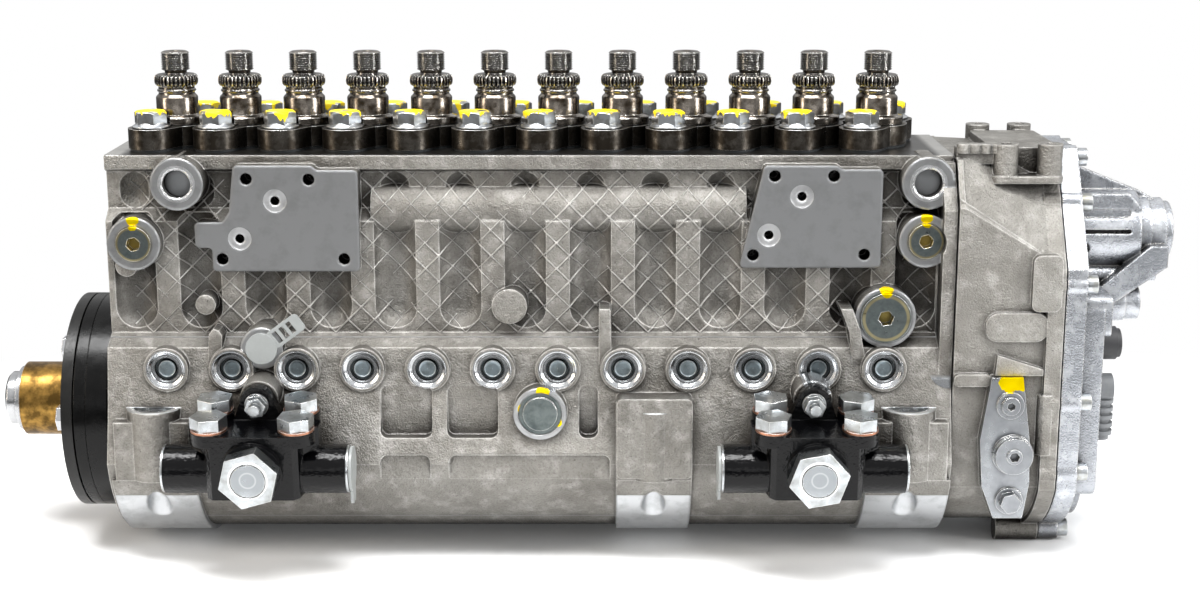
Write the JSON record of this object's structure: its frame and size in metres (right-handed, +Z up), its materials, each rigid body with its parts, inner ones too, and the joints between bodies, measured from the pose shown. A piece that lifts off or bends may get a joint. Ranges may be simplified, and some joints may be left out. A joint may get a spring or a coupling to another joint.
{
  "type": "diesel injection pump",
  "caption": "In-line diesel injection pump with a row of delivery valve holders, feed pumps on its side, a round damper and a solenoid rack actuator.",
  "frame": {"origin": "on the camshaft axis, in the middle of the coupling sleeve", "axes": "+X along the camshaft from the drive end to the actuator end, +Z up along the delivery valve holders, -Y the side with the feed pumps"},
  "size_m": [0.6671, 0.1924, 0.278],
  "materials": {
    "cast_aluminium": "sand cast, weathered and oily",
    "dark_flange": "forged steel, oiled",
    "oiled_steel": "turned steel, oiled, with bronze streaks",
    "zinc_bolt": "zinc plated with yellow paint dabs",
    "ground_steel": "ground",
    "bearing_steel": "polished",
    "sleeve_phosphate": "phosphated, mottled brown",
    "damper_black": "satin black",
    "gasket": "dark sheet",
    "plug_grey": "grey plated",
    "spring_steel": "oiled wire",
    "copper_washer": "soft copper",
    "cap_white": "white dust cap",
    "black_plastic": "moulded",
    "cover_aluminium": "bright casting",
    "brass_sleeve": "turned",
    "coil": "wound and varnished",
    "feed_plug": "zinc plated",
    "seal_rubber": "oily"
  },
  "bodies": {
    "housing": {"pump_housing": "cast_aluminium", "bearing_end_plate": "cast_aluminium", "housing_screws": "zinc_bolt", "bearing_cups": "bearing_steel", "shaft_seal": "seal_rubber", "element_bushes": "dark_flange", "gaskets": "gasket", "flange_bolts": "zinc_bolt", "plunger_barrels": "ground_steel", "upper_spring_seats": "ground_steel", "return_springs": "spring_steel", "delivery_valve_holders": "oiled_steel", "delivery_valves": "ground_steel", "port_plugs": "plug_grey", "gallery_plugs": "plug_grey", "dust_caps": "cap_white", "rack_guides": "brass_sleeve", "feed_pump_bodies": "cast_aluminium", "feed_pump_fittings": "feed_plug", "feed_pump_washers": "copper_washer", "governor_housing": "cast_aluminium", "governor_cover": "cover_aluminium", "solenoid_coil": "coil", "side_plate": "feed_plug", "cable_connectors": "black_plastic"},
    "camshaft": {"camshaft": "ground_steel", "coupling_sleeve": "sleeve_phosphate", "shaft_nut": "ground_steel", "damper_plate": "damper_black", "vibration_damper": "damper_black", "hub_screws": "ground_steel", "bearing_inner_rings": "bearing_steel", "speed_wheel": "ground_steel"},
    "rack": {"control_rack": "ground_steel"},
    "tappet_01": {"tappet_01": "ground_steel"},
    "control_sleeve_01": {"control_sleeve_01": "ground_steel"},
    "tappet_02": {"tappet_02": "ground_steel"},
    "control_sleeve_02": {"control_sleeve_02": "ground_steel"},
    "tappet_03": {"tappet_03": "ground_steel"},
    "control_sleeve_03": {"control_sleeve_03": "ground_steel"},
    "tappet_04": {"tappet_04": "ground_steel"},
    "control_sleeve_04": {"control_sleeve_04": "ground_steel"},
    "tappet_05": {"tappet_05": "ground_steel"},
    "control_sleeve_05": {"control_sleeve_05": "ground_steel"},
    "tappet_06": {"tappet_06": "ground_steel"},
    "control_sleeve_06": {"control_sleeve_06": "ground_steel"},
    "tappet_07": {"tappet_07": "ground_steel"},
    "control_sleeve_07": {"control_sleeve_07": "ground_steel"},
    "tappet_08": {"tappet_08": "ground_steel"},
    "control_sleeve_08": {"control_sleeve_08": "ground_steel"},
    "tappet_09": {"tappet_09": "ground_steel"},
    "control_sleeve_09": {"control_sleeve_09": "ground_steel"},
    "tappet_10": {"tappet_10": "ground_steel"},
    "control_sleeve_10": {"control_sleeve_10": "ground_steel"},
    "tappet_11": {"tappet_11": "ground_steel"},
    "control_sleeve_11": {"control_sleeve_11": "ground_steel"},
    "tappet_12": {"tappet_12": "ground_steel"},
    "control_sleeve_12": {"control_sleeve_12": "ground_steel"},
    "feed_piston_left": {"feed_piston_left": "ground_steel"},
    "feed_piston_right": {"feed_piston_right": "ground_steel"}
  },
  "joints": [
    {"name": "camshaft_spin", "type": "hinge", "parent": "housing", "child": "camshaft", "pos_m": [0, 0, 0], "axis": [1, 0, 0], "continuous": true},
    {"name": "rack_travel", "type": "slide", "parent": "housing", "child": "rack", "axis": [1, 0, 0], "range_m": [-0.0105, 0.0105]},
    {"name": "plunger_stroke_01", "type": "slide", "parent": "housing", "child": "tappet_01", "axis": [0, 0, 1], "range_m": [-0.00136, 0], "deforming": ["return_springs"]},
    {"name": "sleeve_turn_01", "type": "hinge", "parent": "housing", "child": "control_sleeve_01", "pos_m": [0.0775, 0, 0.095], "axis": [0, 0, 1], "range_deg": [-32, 32]},
    {"name": "plunger_stroke_02", "type": "slide", "parent": "housing", "child": "tappet_02", "axis": [0, 0, 1], "range_m": [-0.012, 0], "deforming": ["return_springs"]},
    {"name": "sleeve_turn_02", "type": "hinge", "parent": "housing", "child": "control_sleeve_02", "pos_m": [0.113, 0, 0.095], "axis": [0, 0, 1], "range_deg": [-32, 32]},
    {"name": "plunger_stroke_03", "type": "slide", "parent": "housing", "child": "tappet_03", "axis": [0, 0, 1], "range_m": [-0.00992, 0], "deforming": ["return_springs"]},
    {"name": "sleeve_turn_03", "type": "hinge", "parent": "housing", "child": "control_sleeve_03", "pos_m": [0.1485, 0, 0.095], "axis": [0, 0, 1], "range_deg": [-32, 32]},
    {"name": "plunger_stroke_04", "type": "slide", "parent": "housing", "child": "tappet_04", "axis": [0, 0, 1], "range_m": [-0.00992, 0], "deforming": ["return_springs"]},
    {"name": "sleeve_turn_04", "type": "hinge", "parent": "housing", "child": "control_sleeve_04", "pos_m": [0.184, 0, 0.095], "axis": [0, 0, 1], "range_deg": [-32, 32]},
    {"name": "plunger_stroke_05", "type": "slide", "parent": "housing", "child": "tappet_05", "axis": [0, 0, 1], "range_m": [-0.00136, 0], "deforming": ["return_springs"]},
    {"name": "sleeve_turn_05", "type": "hinge", "parent": "housing", "child": "control_sleeve_05", "pos_m": [0.2195, 0, 0.095], "axis": [0, 0, 1], "range_deg": [-32, 32]},
    {"name": "plunger_stroke_06", "type": "slide", "parent": "housing", "child": "tappet_06", "axis": [0, 0, 1], "range_m": [-0.012, 0], "deforming": ["return_springs"]},
    {"name": "sleeve_turn_06", "type": "hinge", "parent": "housing", "child": "control_sleeve_06", "pos_m": [0.255, 0, 0.095], "axis": [0, 0, 1], "range_deg": [-32, 32]},
    {"name": "plunger_stroke_07", "type": "slide", "parent": "housing", "child": "tappet_07", "axis": [0, 0, 1], "range_m": [-0.00136, 0], "deforming": ["return_springs"]},
    {"name": "sleeve_turn_07", "type": "hinge", "parent": "housing", "child": "control_sleeve_07", "pos_m": [0.2905, 0, 0.095], "axis": [0, 0, 1], "range_deg": [-32, 32]},
    {"name": "plunger_stroke_08", "type": "slide", "parent": "housing", "child": "tappet_08", "axis": [0, 0, 1], "range_m": [-0.00136, 0], "deforming": ["return_springs"]},
    {"name": "sleeve_turn_08", "type": "hinge", "parent": "housing", "child": "control_sleeve_08", "pos_m": [0.326, 0, 0.095], "axis": [0, 0, 1], "range_deg": [-32, 32]},
    {"name": "plunger_stroke_09", "type": "slide", "parent": "housing", "child": "tappet_09", "axis": [0, 0, 1], "range_m": [-0.012, 0], "deforming": ["return_springs"]},
    {"name": "sleeve_turn_09", "type": "hinge", "parent": "housing", "child": "control_sleeve_09", "pos_m": [0.3615, 0, 0.095], "axis": [0, 0, 1], "range_deg": [-32, 32]},
    {"name": "plunger_stroke_10", "type": "slide", "parent": "housing", "child": "tappet_10", "axis": [0, 0, 1], "range_m": [-0.00992, 0], "deforming": ["return_springs"]},
    {"name": "sleeve_turn_10", "type": "hinge", "parent": "housing", "child": "control_sleeve_10", "pos_m": [0.397, 0, 0.095], "axis": [0, 0, 1], "range_deg": [-32, 32]},
    {"name": "plunger_stroke_11", "type": "slide", "parent": "housing", "child": "tappet_11", "axis": [0, 0, 1], "range_m": [-0.012, 0], "deforming": ["return_springs"]},
    {"name": "sleeve_turn_11", "type": "hinge", "parent": "housing", "child": "control_sleeve_11", "pos_m": [0.4325, 0, 0.095], "axis": [0, 0, 1], "range_deg": [-32, 32]},
    {"name": "plunger_stroke_12", "type": "slide", "parent": "housing", "child": "tappet_12", "axis": [0, 0, 1], "range_m": [-0.012, 0], "deforming": ["return_springs"]},
    {"name": "sleeve_turn_12", "type": "hinge", "parent": "housing", "child": "control_sleeve_12", "pos_m": [0.468, 0, 0.095], "axis": [0, 0, 1], "range_deg": [-32, 32]},
    {"name": "feed_piston_stroke_left", "type": "slide", "parent": "housing", "child": "feed_piston_left", "axis": [0, 0.9962, 0.0872], "range_m": [0, 0.006], "deforming": ["return_springs"]},
    {"name": "feed_piston_stroke_right", "type": "slide", "parent": "housing", "child": "feed_piston_right", "axis": [0, 0.9962, 0.0872], "range_m": [0, 0.006], "deforming": ["return_springs"]}
  ],
  "couplings": [
    {"joint": "sleeve_turn_01", "follows": "rack_travel", "rad_per_m": -49.87},
    {"joint": "sleeve_turn_02", "follows": "rack_travel", "rad_per_m": -49.87},
    {"joint": "sleeve_turn_03", "follows": "rack_travel", "rad_per_m": -49.87},
    {"joint": "sleeve_turn_04", "follows": "rack_travel", "rad_per_m": -49.87},
    {"joint": "sleeve_turn_05", "follows": "rack_travel", "rad_per_m": -49.87},
    {"joint": "sleeve_turn_06", "follows": "rack_travel", "rad_per_m": -49.87},
    {"joint": "sleeve_turn_07", "follows": "rack_travel", "rad_per_m": -49.87},
    {"joint": "sleeve_turn_08", "follows": "rack_travel", "rad_per_m": -49.87},
    {"joint": "sleeve_turn_09", "follows": "rack_travel", "rad_per_m": -49.87},
    {"joint": "sleeve_turn_10", "follows": "rack_travel", "rad_per_m": -49.87},
    {"joint": "sleeve_turn_11", "follows": "rack_travel", "rad_per_m": -49.87},
    {"joint": "sleeve_turn_12", "follows": "rack_travel", "rad_per_m": -49.87}
  ]
}
